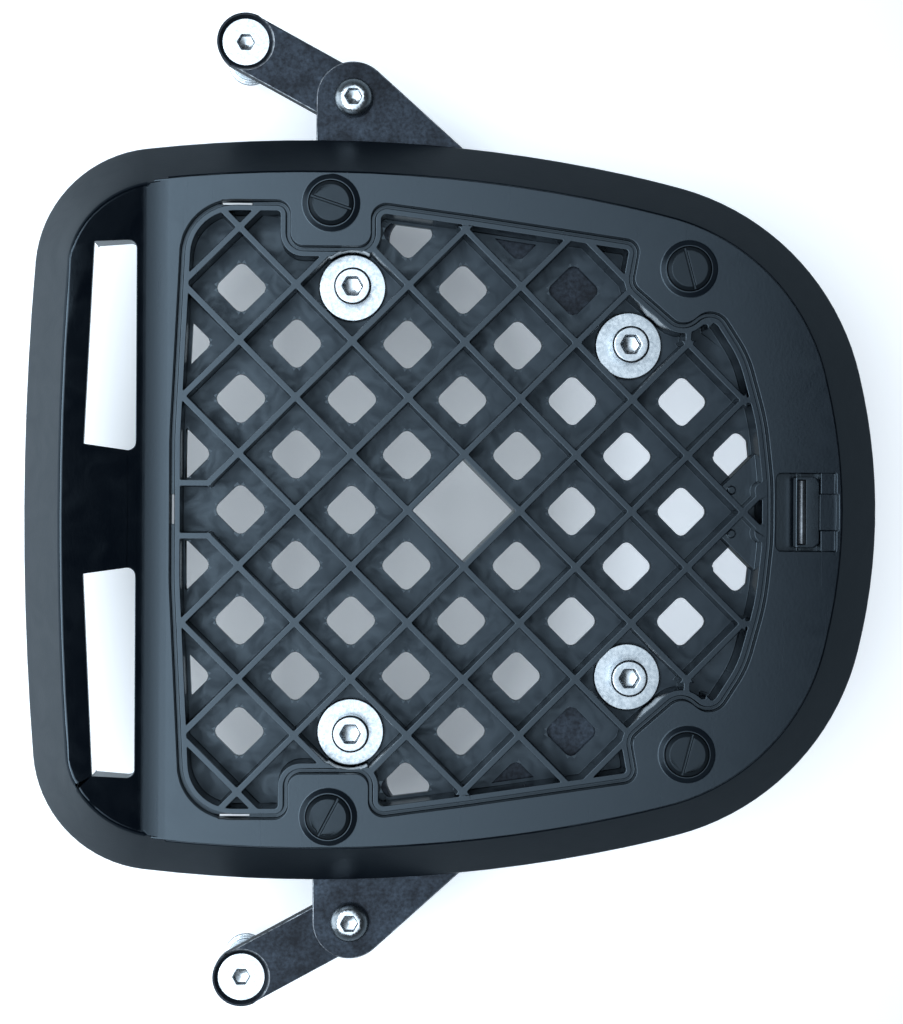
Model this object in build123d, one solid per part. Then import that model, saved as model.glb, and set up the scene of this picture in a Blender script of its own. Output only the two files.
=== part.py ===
from build123d import *
import os
from math import atan2, cos, degrees, hypot, radians, sin, sqrt, tan

# Motorcycle luggage rack: a moulded top-case plate, bolted to two V-shaped steel
# brackets, whose ears carry the link arms that reach the frame bolts.
# Millimetres. +X to the rear, +Y to the machine's right side, +Z up.
# The origin lies midway between the two frame bolts, on the seat of their spacers.

# Plate outline, measured from the lattice centre
plate_nose = 153.1
plate_tail = 147.3
plate_half_width = 129.94
skirt_lip = 2.5

# Joints of the outline's arcs: in from the nose or the tail, and in from the half width
corner_front = (3.5, 43.74)
corner_side = (42.0, 3.74)
flank_end = (89.2, 10.94)
shoulder_end = (70.0, 15.44)
heel_end = (5.9, 81.14)

# Plan run of the sloping skirt, from the lip up to deck height
skirt_run_front = 10.1
skirt_run_corner = 14.4
skirt_run_side = 14.7
skirt_run_rear = 17.0

# Levels above the plate's underside, and walls
deck_height = 20.0
deck_step = 1.6
deck_ledge = 0.6
plate_wall = 3.0
floor_thickness = 3.0
web_thickness = 2.0
side_web_columns = (-4.6, -1.0, 1.0, 3.0)
rear_web_rows = (1.6, 2.8)
rear_web_start = 89.3

# Front lip: a ramp that climbs from the deck to the front crest, with two hook slots
ramp_foot = 107.0
ramp_angle = 16.0
ramp_blend = 34.0
ramp_headroom = 14.0
slot_front = 129.9
slot_rear = 112.7
slot_inner = 19.7
slot_outer = 92.0
slot_end_slant = 2.4
slot_front_slant = 3.2
slot_corner = 2.75
slot_front_corner = 0.4
slot_wall = 2.5
slot_depth = 14.5

# Lattice tray
lattice_step = 19.45
lattice_rows = 7
rib_thickness = 2.2
rib_drop = 2.5
hole_side = 13.6
hole_corner_cut = 1.64
hole_margin = 1.2
groove_width = 1.5
groove_depth = 5.5
tray_wall = 2.0
tray_front = 101.2
tray_front_bow = 25.0
tray_front_radius = 150.0
tray_corner_x = 97.2
tray_half_width = 106.4
tray_corner_radius = 19.0
tray_side_bow = (3.2, 101.8)
tray_side_radius = 120.0
tray_shoulder = (60.9, 93.6)
tray_cheek = (98.7, 54.5)
tray_cheek_radius = 40.0
tray_heel = (105.0, 31.5)
tray_rear = 107.3
tray_rear_flat = 10.0
tray_rear_radius = 80.0
bay_corner = 4.6
bay_mouth_corner = 5.4
rear_bay_in = (19.2, 5.2)
rear_bay_foot = (1.6, 20.4)
rear_bay_foot_corner = 6.0
rear_bay_out = (9.6, 11.4)
rear_bay_out_corner = 7.0
bend_x = 88.2
bend_y = 9.1
hook_slit = (10.3, 0.9)
wall_boss = (104.4, 7.4)
wall_boss_radius = 3.3
shelf_width = 10.8
shelf_rise = 6.5
shelf_stud = (7.5, 3.3)
shelf_stud_radius = 1.4
shelf_stud_height = 1.2

# Slotted plugs in the deck
plug_front = (-46.5, 105.4)
plug_rear = (77.4, 84.0)
plug_notch_half = 13.9
plug_notch_depth = 14.6
plug_collar_foot = 9.9
plug_collar_crest = 8.2
plug_collar_height = 1.2
plug_radius = 7.6
plug_edge = 1.3
plug_proud = 2.6
plug_seat_depth = 4.8
plug_stem_width = 8.0
plug_stem = 9.0
plug_slot_width = 0.9
plug_slot_depth = 1.0
plug_boss_wall = 2.2
plug_turns = {"front_right": -18.0, "rear_right": -75.0, "rear_left": 75.0, "front_left": 62.0}

# Latch recess with its keeper and pin
latch_front = 108.3
latch_rear = 129.4
latch_half_width = 13.6
latch_corner = 2.2
latch_pocket_depth = 11.0
latch_seat_depth = 7.6
latch_tab_depth = 4.0
latch_tab_inner = 6.4
latch_tab_height = 2.2
keeper_front = 115.7
keeper_rear = 124.0
keeper_half_width = 12.4
keeper_overhang = 2.2
keeper_thickness = 4.4
keeper_corner = 2.4
pin_radius = 1.4
pin_length = 22.4
pin_setback = 2.2
pin_sink = 0.7

# Steel straps
bracket_thickness = 5.0
bracket_half_width = 13.0
bracket_crotch = 9.5
ear_reach = 67.4
arm_thickness = 6.0
arm_half_width = 10.0
arm_length = 43.3
arm_swing = 28.3

# M8 hardware
bolt_diameter = 8.0
bolt_clearance = 0.3
fit_gap = 0.3
cap_head = (13.0, 8.0)
cap_socket = (6.0, 4.0)
plate_bolt_length = 25.0
plate_washer_diameter = 23.6
plate_washer_thickness = 2.0
button_head = (14.0, 4.4)
button_socket = (5.0, 2.6)
button_crown = 7.4
button_bulge = 0.9
pivot_bolt_length = 25.0
sunk_head = (16.6, 4.3)
sunk_drop = 1.2
sunk_socket = (5.0, 2.8)
frame_bolt_length = 55.0
stud_diameter = 7.2
plain_washer_diameter = 16.0
plain_washer_thickness = 1.6
nut_across_flats = 13.0
nut_height = 8.0
nut_flange = 1.8
nut_slack = 0.02
spacer_diameter = 13.0
spacer_flange_diameter = 16.0
spacer_flange = 2.6
spacer_length = 36.0
edge_break = 0.6
weld = 0.5

# Places that follow from the sizes above
hole_radius = bolt_diameter / 2 + bolt_clearance
rib_top = deck_height - rib_drop
washer_bay_radius = plate_washer_diameter / 2 + fit_gap
front_bolt = (-2 * lattice_step, 4 * lattice_step)
rear_bolt = (3 * lattice_step, 3 * lattice_step)
ear = (front_bolt[0], front_bolt[1] + ear_reach)
arm_end = (
    ear[0] - arm_length * cos(radians(arm_swing)),
    ear[1] + arm_length * sin(radians(arm_swing)),
)
plate_place = Location((-arm_end[0], 0, spacer_length + arm_thickness + bracket_thickness))
sides = {"right": 1, "left": -1}
plug_spots = {
    "front_right": plug_front,
    "rear_right": plug_rear,
    "rear_left": (plug_rear[0], -plug_rear[1]),
    "front_left": (plug_front[0], -plug_front[1]),
}
tray_inner_inset = groove_width + tray_wall


def both_sides(points):
    """Close an upper half outline, front to rear, with its mirror image."""
    return points + [(x, -y) + tuple(rest) for x, y, *rest in reversed(points) if y > 0]


def plate_arcs():
    """Arcs of the plate's lower edge, clockwise from the nose, with the skirt's run at both ends."""
    def from_nose(joint):
        return joint[0] - plate_nose, plate_half_width - joint[1]

    def from_tail(joint):
        return plate_tail - joint[0], plate_half_width - joint[1]

    start, heel = from_nose(corner_front), from_tail(heel_end)
    nose = ThreePointArc((start[0], -start[1]), (-plate_nose, 0), start)
    upper = [(nose, skirt_run_front, skirt_run_front)]
    joints = (
        (from_nose(corner_side), skirt_run_corner),
        (from_tail(flank_end), skirt_run_side),
        (from_tail(shoulder_end), skirt_run_side),
        (heel, skirt_run_rear),
    )
    for end, run in joints:
        last, last_run = upper[-1][0], upper[-1][2]
        upper.append((TangentArc(last @ 1, end, tangent=last % 1), last_run, run))
    tail = ThreePointArc(heel, (plate_tail, 0), (heel[0], -heel[1]))
    lower = [(mirrored(arc), end_run, start_run) for arc, start_run, end_run in reversed(upper[1:])]
    return upper + [(tail, skirt_run_rear, skirt_run_rear)] + lower


def mirrored(arc):
    """An arc's mirror image across the rack's middle, run the other way."""
    points = [arc @ share for share in (1, 0.5, 0)]
    return ThreePointArc(*[(point.X, -point.Y) for point in points])


def plate_outline(inset, share=0.0):
    """Plate outline, moved in by a fixed inset and by a share of the skirt's run."""

    def moved(arc, along, run):
        return arc @ along + (arc % along).rotate(Axis.Z, -90) * (inset + share * run)

    arcs = plate_arcs()
    starts = [moved(arc, 0, start_run) for arc, start_run, end_run in arcs]
    middles = [moved(arc, 0.5, (start_run + end_run) / 2) for arc, start_run, end_run in arcs]
    ends = starts[1:] + starts[:1]
    return make_face([ThreePointArc(*points) for points in zip(starts, middles, ends)])


def slab(face, bottom, top):
    """A flat face raised from one level to another."""
    return Pos(0, 0, bottom) * extrude(face, top - bottom)


def block(x, y, z):
    """A box between two X, two Y and two Z values."""
    size = (x[1] - x[0], y[1] - y[0], z[1] - z[0])
    centre = ((x[0] + x[1]) / 2, (y[0] + y[1]) / 2, (z[0] + z[1]) / 2)
    return Pos(*centre) * Box(*size)


def rounded_polygon(corners):
    """A face from (x, y, corner radius) points."""
    points = [corner[:2] for corner in corners]
    return make_face(FilletPolyline(*points, radius=[c[2] for c in corners], close=True))


def skirt_form(inset):
    """The plate's outer taper, above its deck and crest, for a given wall inset."""
    top = deck_height + ramp_headroom
    share = (top - skirt_lip) / (deck_height - skirt_lip)
    taper = loft(
        [Pos(0, 0, skirt_lip) * plate_outline(inset), Pos(0, 0, top) * plate_outline(inset, share)],
        ruled=True,
    )
    return slab(plate_outline(inset), 0, skirt_lip) + taper


def top_profile(deck_level, drop):
    """Everything below the deck, the ramp and the soft blend between them."""
    slope = radians(ramp_angle)
    lead = ramp_blend * tan(slope / 2)
    reach = plate_nose - ramp_foot + plate_wall
    foot_x, foot_z = -ramp_foot, deck_height - drop
    crest = (foot_x - reach, foot_z + reach * tan(slope))
    blend_top = (foot_x - lead * cos(slope), foot_z + lead * sin(slope))
    blend_foot = (foot_x + lead, foot_z)
    far = plate_tail + plate_wall
    corners = [blend_foot, (far, foot_z), (far, -plate_wall), (crest[0], -plate_wall), crest, blend_top]
    if deck_level < foot_z:
        corners[1:2] = [(blend_foot[0], deck_level), (far, deck_level)]
    section = make_face(
        Polyline(*corners) + TangentArc(blend_top, blend_foot, tangent=(cos(slope), -sin(slope)))
    )
    half = plate_half_width + plate_wall
    return Pos(0, half, 0) * extrude(Plane.XZ * section, 2 * half)


def tray_outline():
    """Edge of the deck's opening over the lattice, with bays round the four plugs."""
    bay_left = plug_front[0] - plug_notch_half
    bay_right = plug_front[0] + plug_notch_half
    bay_floor = plug_front[1] - plug_notch_depth
    x, y = plug_rear
    upper = [
        (-tray_front, tray_front_bow, tray_front_radius),
        (-tray_corner_x, tray_half_width, tray_corner_radius),
        (bay_left, tray_half_width, bay_corner),
        (bay_left, bay_floor, bay_corner),
        (bay_right, bay_floor, bay_corner),
        (bay_right, tray_half_width, bay_mouth_corner),
        (*tray_side_bow, tray_side_radius),
        (*tray_shoulder, bay_corner),
        (x - rear_bay_in[0], y - rear_bay_in[1], bay_corner),
        (x - rear_bay_foot[0], y - rear_bay_foot[1], rear_bay_foot_corner),
        (x + rear_bay_out[0], y - rear_bay_out[1], rear_bay_out_corner),
        (*tray_cheek, tray_cheek_radius),
        (*tray_heel, tray_rear_radius),
        (tray_rear, tray_rear_flat, tray_rear_radius),
    ]
    return rounded_polygon(both_sides(upper))


def tray_inset(amount):
    """The tray's outline moved inwards, or outwards for a negative amount."""
    return offset(tray_outline(), -amount)


def diagonal_bars():
    """Plan of the crossing 45 degree bars, longer than the tray."""
    bars = Sketch()
    for k in range(-lattice_rows, lattice_rows):
        away = (2 * k + 1) * lattice_step / sqrt(2)
        bar = Pos(0, away) * Rectangle(4 * plate_nose, rib_thickness)
        bars += [Rot(0, 0, 45) * bar, Rot(0, 0, -45) * bar]
    return bars


def rectangle(x, y):
    """A plan rectangle between two X and two Y values."""
    return Pos((x[0] + x[1]) / 2, (y[0] + y[1]) / 2) * Rectangle(abs(x[1] - x[0]), abs(y[1] - y[0]))


def lattice_ribs():
    """Plan of the tray's ribs: the diagonal lattice, its bent ends and its end stubs."""
    half = rib_thickness / 2
    clear = 3 * rib_thickness
    trims = [rectangle((-tray_front, -bend_x), (-bend_y, bend_y))]
    stubs = []
    for side in (1, -1):
        bend = side * bend_y
        stubs.append(rectangle((-tray_front, half - bend_x), (bend - half, bend + half)))
        for column, row in ((0, 5), (4, 3)):
            x, y = column * lattice_step, row * lattice_step
            trims.append(rectangle((x - clear, x + clear), (side * (y + half), side * (y + clear))))
            stubs.append(rectangle((x - half, x + half), (side * y, side * (y + clear))))
        x, y = 5 * lattice_step, side * 2 * lattice_step
        trims.append(rectangle((x + half, x + clear), (y - clear, y + clear)))
        stubs.append(rectangle((x, x + clear), (y - half, y + half)))
    bosses = [Pos(wall_boss[0], side * wall_boss[1]) * Circle(wall_boss_radius) for side in (1, -1)]
    bars = diagonal_bars() - trims + stubs + bosses
    return bars & tray_inset(tray_inner_inset - weld)


def shelf_corner(plan):
    """A plan set in the corner of the last cell row beside the latch, right and left."""
    half = lattice_step / sqrt(2)
    corner = Pos(5 * lattice_step, lattice_step) * Rot(0, 0, -45) * Pos(half, -half)
    return [corner * plan, mirror(corner * plan, Plane.XZ)]


def latch_shelves():
    """Plan of the raised shelves that fill the cell corners beside the latch."""
    strip = Pos(-shelf_width / 2, lattice_step) * Rectangle(shelf_width, 2 * lattice_step)
    return (Sketch() + shelf_corner(strip)) & tray_inset(tray_inner_inset - weld)


def drain_holes():
    """Plan of the floor's rounded square holes, kept clear of the tray's wall."""
    cells = [(2, 0), (4, 0), (-2, 0), (-4, 0)]
    rows = {1: (-5, -3, -1, 1, 3, 5), 2: (-4, -2, 0, 2, 4), 3: (-5, -3, -1, 1), 4: (-4, 0, 2), 5: (-1, 1)}
    for row, columns in rows.items():
        cells += [(column, side * row) for column in columns for side in (1, -1)]
    square = Rot(0, 0, 45) * Rectangle(hole_side, hole_side)
    square = chamfer(square.vertices(), hole_corner_cut)
    open_cell = lattice_step * sqrt(2) - rib_thickness
    pattern = Sketch() + Rot(0, 0, 45) * Rectangle(open_cell, open_cell)
    pattern += [Pos(column * lattice_step, row * lattice_step) * square for column, row in cells]
    open_floor = tray_inset(tray_inner_inset + hole_margin) - latch_shelves()
    return pattern & open_floor


def lattice_tray():
    """The tray's pierced floor with its standing ribs."""
    floor = tray_inset(tray_inner_inset - weld) - drain_holes()
    floor -= [Pos(x, y) * Circle(hole_radius) for x, y in plate_bolt_places()]
    shelf_top = floor_thickness + shelf_rise
    studs = Sketch() + shelf_corner(Pos(-shelf_stud[0], shelf_stud[1]) * Circle(shelf_stud_radius))
    return [
        slab(floor, 0, floor_thickness),
        slab(lattice_ribs(), floor_thickness, rib_top),
        slab(latch_shelves(), floor_thickness, shelf_top),
        slab(studs, shelf_top, shelf_top + shelf_stud_height),
    ]


def hook_slots():
    """Plan of the two front slots, slanted at both ends and along the front."""
    upper = [
        (-slot_front, slot_inner + slot_end_slant, slot_front_corner),
        (-slot_front + slot_front_slant, slot_outer - slot_end_slant / 2, slot_front_corner),
        (-slot_rear, slot_outer, slot_corner),
        (-slot_rear, slot_inner, slot_corner),
    ]
    plan = rounded_polygon(upper)
    return plan, mirror(plan, Plane.XZ)


def latch_rooms():
    """Cuts of the latch recess: mouth pocket, keeper seat and the stepped rear tabs."""
    half = latch_half_width
    seat = keeper_front + keeper_overhang
    mouth = rounded_polygon(
        [
            (latch_front, half, latch_corner),
            (latch_rear, half, edge_break),
            (latch_rear, -half, edge_break),
            (latch_front, -half, latch_corner),
        ]
    )
    top = deck_height + weld
    pocket = block((latch_front, seat), (-half, half), (deck_height - latch_pocket_depth, top))
    shelf = block((seat, keeper_rear + fit_gap), (-half, half), (deck_height - latch_seat_depth, top))
    tabs = block((keeper_rear, latch_rear), (-half, half), (deck_height - latch_tab_height, top))
    gate = block(
        (keeper_rear, plate_tail),
        (-latch_tab_inner, latch_tab_inner),
        (deck_height - latch_tab_depth, top),
    )
    well = slab(mouth, 0, top) & (pocket + shelf + tabs)
    return well + (gate & slab(plate_outline(0, 1.0), 0, top))


def slot_collars():
    """Guide walls round each hook slot, open towards the front lip."""
    middle = (slot_front + slot_rear) / 2
    foot = deck_height + (middle - ramp_foot) * tan(radians(ramp_angle)) - slot_depth
    open_front = rectangle(
        (-slot_front - slot_wall, slot_front_slant - slot_front), (-plate_half_width, plate_half_width)
    )
    top = deck_height + ramp_headroom
    return [slab(offset(plan, slot_wall) - open_front, foot, top) for plan in hook_slots()]


def stiffening_webs():
    """Upright webs under the deck, between the skirt and the tray's wall."""
    half, levels = web_thickness / 2, (skirt_lip, deck_height)
    webs = []
    for column in side_web_columns:
        x = column * lattice_step
        webs.append(block((x - half, x + half), (-plate_half_width, plate_half_width), levels))
    for side in (1, -1):
        for row in rear_web_rows:
            y = side * row * lattice_step
            webs.append(block((rear_web_start, plate_tail), (y - half, y + half), levels))
    return webs


def plate_shell():
    """The moulded skin: skirt, deck and front lip over a hollow underside."""
    deck_edge = plate_outline(deck_ledge, 1.0 - deck_step / (deck_height - skirt_lip))
    width = (-plate_half_width, plate_half_width)
    outer = skirt_form(0) & top_profile(deck_height - deck_step, 0)
    plateau = block((-ramp_foot, plate_tail), width, (0, deck_height))
    outer += slab(deck_edge, skirt_lip, deck_height) & plateau

    hollow = skirt_form(plate_wall) & top_profile(deck_height - plate_wall, plate_wall)
    kept = [
        slab(tray_inset(groove_width), -weld, rib_top),
        slab(tray_inset(-plate_wall), deck_height - groove_depth - plate_wall, deck_height),
    ]
    boss_radius = plug_radius + plug_boss_wall
    for x, y in plug_spots.values():
        kept.append(Pos(x, y, deck_height / 2) * Cylinder(boss_radius, deck_height))
    for x, y in plate_bolt_places():
        kept.append(Pos(x, y, rib_top / 2) * Cylinder(washer_bay_radius + tray_wall, rib_top))
    bed_half = latch_half_width + plate_wall
    bed = deck_height - latch_pocket_depth - plate_wall
    kept.append(block((latch_front - plate_wall, plate_tail), (-bed_half, bed_half), (bed, deck_height)))
    outer += [plug_collar(x, y) for x, y in plug_spots.values()]
    return outer - (hollow - kept - slot_collars() - stiffening_webs())


def plug_collar(x, y):
    """Raised conical collar round one deck plug."""
    middle = deck_height + plug_collar_height / 2
    return Pos(x, y, middle) * Cone(plug_collar_foot, plug_collar_crest, plug_collar_height)


def plug_bore(x, y):
    """Stepped bore of one deck plug: head seat and square stem hole."""
    top = deck_height + plug_collar_height + weld
    stem_room = plug_stem_width + 2 * fit_gap
    seat = deck_height - plug_seat_depth
    return (
        Pos(x, y, (seat + top) / 2) * Cylinder(plug_radius + fit_gap, top - seat)
        + Pos(x, y, seat / 2) * Box(stem_room, stem_room, seat + 2 * weld)
    )


def hook_slits():
    """Three narrow openings in the groove, where a cover's hooks would snap in."""
    length, width = hook_slit
    low, high = deck_height - groove_depth - plate_wall - weld, deck_height
    x, y = (plug_front[0] - plug_notch_half - tray_corner_x) / 2, tray_half_width - groove_width / 2
    slits = [Pos(-tray_front + groove_width / 2, 0, (low + high) / 2) * Box(width, length, high - low)]
    for side in (1, -1):
        slits.append(Pos(x, side * y, (low + high) / 2) * Box(length, width, high - low))
    return slits


def base_plate():
    """The moulded plate with its lattice tray, hook slots, plug bores and latch recess."""
    top = deck_height + weld
    cuts = [
        slab(tray_inset(tray_inner_inset), -weld, top),
        slab(tray_outline(), rib_top, top),
        slab(tray_outline() - tray_inset(groove_width), deck_height - groove_depth, top),
        latch_rooms(),
    ]
    cuts += hook_slits()
    cuts += [slab(plan, -weld, deck_height + ramp_headroom) for plan in hook_slots()]
    cuts += [plug_bore(x, y) for x, y in plug_spots.values()]
    bay = (floor_thickness + top) / 2
    for x, y in plate_bolt_places():
        cuts.append(Pos(x, y, bay) * Cylinder(washer_bay_radius, top - floor_thickness))
    return plate_shell() - cuts + lattice_tray()


def deck_plug(turn):
    """One slotted plug, its sloped head standing proud of the deck."""
    seat, top = deck_height - plug_seat_depth, deck_height + plug_proud
    head = disc(plug_radius, seat, top)
    head = chamfer(head.faces().sort_by(Axis.Z)[-1].edges(), plug_edge)
    stem = Pos(0, 0, seat - plug_stem / 2) * Box(plug_stem_width, plug_stem_width, plug_stem)
    slot = Box(2 * plug_radius, plug_slot_width, 2 * plug_slot_depth)
    return head + stem - Pos(0, 0, top) * Rot(0, 0, turn) * slot


def latch_keeper():
    """Keeper plate in the latch recess, with a round seat for the pin."""
    bed = deck_height - latch_seat_depth
    plan = rounded_polygon(
        [
            (keeper_front, keeper_half_width, edge_break),
            (keeper_rear, keeper_half_width, keeper_corner),
            (keeper_rear, -keeper_half_width, keeper_corner),
            (keeper_front, -keeper_half_width, edge_break),
        ]
    )
    return slab(plan, bed, bed + keeper_thickness) - pin_form(pin_radius)


def pin_form(radius):
    """The latch pin's cylinder, half sunk in the keeper's top."""
    height = deck_height - latch_seat_depth + keeper_thickness + pin_radius - 2 * pin_sink
    place = Pos(keeper_front + pin_setback, 0, height)
    return place * Rot(90, 0, 0) * Cylinder(radius, pin_length)


def bearing(start, end):
    """Direction from one plan point to another, in degrees from +X."""
    return degrees(atan2(end[1] - start[1], end[0] - start[0]))


def strap(start, end, half_width):
    """A flat bar's plan between two centres, with round ends."""
    length = hypot(end[0] - start[0], end[1] - start[1])
    middle = Pos((start[0] + end[0]) / 2, (start[1] + end[1]) / 2)
    return middle * Rot(0, 0, bearing(start, end)) * SlotCenterToCenter(length, 2 * half_width)


def on_side(solid, side):
    """A solid of the right side, or its mirror image for the left."""
    return solid if side > 0 else mirror(solid, Plane.XZ)


def side_bracket():
    """V-shaped bracket: an ear outside the plate and a leg to each of two plate bolts."""
    plan = strap(ear, front_bolt, bracket_half_width) + strap(ear, rear_bolt, bracket_half_width)
    first, second = bearing(ear, front_bolt), bearing(ear, rear_bolt)
    reach = bracket_half_width / sin(radians(second - first) / 2)
    split = radians((first + second) / 2)
    crotch = Vector(ear[0] + reach * cos(split), ear[1] + reach * sin(split))
    plan = fillet(plan.vertices().sort_by_distance(crotch)[0], bracket_crotch)
    plan -= [Pos(x, y) * Circle(hole_radius) for x, y in (ear, front_bolt, rear_bolt)]
    return slab(plan, -bracket_thickness, 0)


def link_arm():
    """Flat arm under the ear, countersunk at its outer end for the frame bolt."""
    top = -bracket_thickness
    plan = strap(ear, arm_end, arm_half_width)
    plan -= [Pos(x, y) * Circle(hole_radius) for x, y in (ear, arm_end)]
    mouth = sunk_head[0] / 2 + sunk_drop + bolt_clearance
    depth = mouth - hole_radius
    sink = Pos(arm_end[0], arm_end[1], top - depth / 2) * Cone(hole_radius, mouth, depth)
    return slab(plan, top - arm_thickness, top) - sink


def disc(radius, bottom, top):
    """A round bar between two levels."""
    return Pos(0, 0, (bottom + top) / 2) * Cylinder(radius, top - bottom)


def hex_bar(across_flats, bottom, top):
    """A hexagon bar between two levels."""
    return slab(RegularPolygon(across_flats / 2, 6, major_radius=False), bottom, top)


def washer(diameter, thickness):
    """A plain washer that lies on level zero."""
    return disc(diameter / 2, 0, thickness) - disc(hole_radius, -weld, thickness + weld)


def hex_nut(flange_diameter=None):
    """Hexagon nut with its seat on level zero, plain or with a flange as wide as a washer."""
    body = hex_bar(nut_across_flats, -nut_height, 0)
    if flange_diameter:
        body += disc(flange_diameter / 2, -nut_flange, 0)
    return body - disc(bolt_diameter / 2 + nut_slack, -nut_height - weld, weld)


def shank(length):
    """Bolt shank from level zero down."""
    return disc(bolt_diameter / 2, -length, 0)


def cap_bolt():
    """Socket head cap bolt, its head's underside on level zero."""
    diameter, height = cap_head
    flats, depth = cap_socket
    head = disc(diameter / 2, 0, height)
    head = chamfer(head.faces().sort_by(Axis.Z)[-1].edges(), edge_break)
    return head + shank(plate_bolt_length) - hex_bar(flats, height - depth, height + weld)


def button_bolt():
    """Domed button head bolt, its head's underside on level zero."""
    diameter, height = button_head
    flats, depth = button_socket
    crown, radius = button_crown / 2, diameter / 2
    dome = SagittaArc((radius, edge_break), (crown, height), -button_bulge)
    seat = Polyline((0, 0), (radius, 0), (radius, edge_break))
    top = Polyline((crown, height), (0, height), (0, 0))
    profile = make_face(seat + dome + top)
    head = revolve(Plane.XZ * profile, Axis.Z)
    return head + shank(pivot_bolt_length) - hex_bar(flats, height - depth, height + weld)


def sunk_bolt():
    """Countersunk bolt, the top of its head on level zero, threaded below its spacer."""
    diameter, height = sunk_head
    flats, depth = sunk_socket
    neck = bolt_diameter / 2
    cone = diameter / 2 - neck
    rim = max(height - cone, edge_break / 2)
    head = disc(diameter / 2, -rim, 0) + Pos(0, 0, -rim - cone / 2) * Cone(neck, diameter / 2, cone)
    grip = arm_thickness + spacer_length - sunk_drop
    stud = disc(stud_diameter / 2, -frame_bolt_length, -grip)
    return head + shank(grip) + stud - hex_bar(flats, -depth, weld)


def spacer():
    """Turned spacer bush under an arm's end, flanged where it meets the frame."""
    bush = disc(spacer_diameter / 2, -spacer_length, 0)
    bush += disc(spacer_flange_diameter / 2, -spacer_length, spacer_flange - spacer_length)
    return bush - disc(hole_radius, -spacer_length - weld, weld)


def plate_bolt_places():
    """Plan places of the four plate bolts."""
    return [(x, side * y) for side in sides.values() for x, y in (front_bolt, rear_bolt)]


def side_places(point):
    """A plan place on both sides of the rack."""
    return [(point[0], side * point[1]) for side in sides.values()]


def group(solid, places, level):
    """Copies of one fastener at several plan places, as one set of solids."""
    return Compound([Pos(x, y, level) * solid for x, y in places])


under_bracket = -bracket_thickness
under_arm = under_bracket - arm_thickness
lower_washer = plain_washer_thickness
plain_washer = washer(plain_washer_diameter, plain_washer_thickness)

nodes = {
    "base_plate": base_plate(),
    "latch_keeper": latch_keeper(),
    "latch_pin": pin_form(pin_radius),
    "plate_washers": group(
        washer(plate_washer_diameter, plate_washer_thickness), plate_bolt_places(), floor_thickness
    ),
    "plate_bolts": group(cap_bolt(), plate_bolt_places(), floor_thickness + plate_washer_thickness),
    "plate_nuts": group(hex_nut(plain_washer_diameter), plate_bolt_places(), under_bracket),
    "pivot_bolts": group(button_bolt(), side_places(ear), 0),
    "pivot_washers": group(plain_washer, side_places(ear), under_arm - lower_washer),
    "pivot_nuts": group(hex_nut(), side_places(ear), under_arm - lower_washer),
    "frame_bolts": group(sunk_bolt(), side_places(arm_end), under_bracket - sunk_drop),
}
for name, (x, y) in plug_spots.items():
    nodes["deck_plug_" + name] = Pos(x, y) * deck_plug(plug_turns[name])
for name, side in sides.items():
    nodes["side_bracket_" + name] = on_side(side_bracket(), side)
    nodes["link_arm_" + name] = on_side(link_arm(), side)
    nodes["spacer_" + name] = Pos(arm_end[0], side * arm_end[1], under_arm) * spacer()

os.makedirs("parts", exist_ok=True)
for name, solid in nodes.items():
    export_step(plate_place * solid, "parts/" + name + ".step")
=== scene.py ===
"""Studio scene of a motorcycle luggage rack.

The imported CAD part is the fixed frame. Every piece here is a finished version of one CAD node, with the
rounded edges, threads and surface finishes of the real part. A large soft lamp hangs over the front half
of the rack and an upright one stands before it, on a pale floor in a white room.
"""

import logging
import math
from dataclasses import dataclass
from enum import Enum
from typing import Callable, Optional, Union

import bmesh
import bpy
from mathutils import Matrix, Quaternion, Vector


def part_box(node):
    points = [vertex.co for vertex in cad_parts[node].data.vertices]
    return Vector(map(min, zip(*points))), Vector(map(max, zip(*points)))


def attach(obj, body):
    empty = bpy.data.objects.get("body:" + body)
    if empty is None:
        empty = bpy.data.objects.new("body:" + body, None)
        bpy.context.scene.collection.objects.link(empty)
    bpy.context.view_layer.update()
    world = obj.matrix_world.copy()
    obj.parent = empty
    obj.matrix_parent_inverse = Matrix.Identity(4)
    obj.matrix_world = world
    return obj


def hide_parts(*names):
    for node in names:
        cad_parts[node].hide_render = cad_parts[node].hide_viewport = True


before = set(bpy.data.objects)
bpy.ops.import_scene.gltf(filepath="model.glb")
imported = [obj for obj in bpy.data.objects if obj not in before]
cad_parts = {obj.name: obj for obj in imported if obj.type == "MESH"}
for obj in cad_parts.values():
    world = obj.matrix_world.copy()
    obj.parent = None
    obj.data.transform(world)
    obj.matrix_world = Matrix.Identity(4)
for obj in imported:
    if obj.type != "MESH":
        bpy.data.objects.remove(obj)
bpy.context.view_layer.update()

MM = 0.001
BODY = "root"
UPWARD = (0.0, 0.0, 1.0)
# Vertices of the CAD meshes that lie this close, in metres, are one vertex.
MERGE_M = 2e-6
# Degrees between the triangles of one flat face, and a limit that any shape of quad passes.
COPLANAR, ANY_SHAPE = 1.0, 180.0
# A vertex this close to a level lies on it.
ON_LEVEL_MM = 0.02
# Two faces that turn by more degrees than this meet in a corner of the part, not in a facet of a curve.
SHARP_TURN = 28.0
# Cosines between two normals: faces of one flat, and faces that are about level.
FLAT_MATCH, LEVEL_MATCH = 0.99999, 0.99

log = logging.getLogger("luggage_rack")

Inputs = dict[Union[str, int], Union[float, tuple, bpy.types.NodeSocket]]
Span = tuple[float, float]
PlanPoint = tuple[float, float]
Triple = tuple[float, float, float]
EdgeTest = Callable[[bmesh.types.BMEdge], bool]


class Side(Enum):
    """The machine's two sides, as the CAD nodes spell them."""

    RIGHT = "right"
    LEFT = "left"


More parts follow.
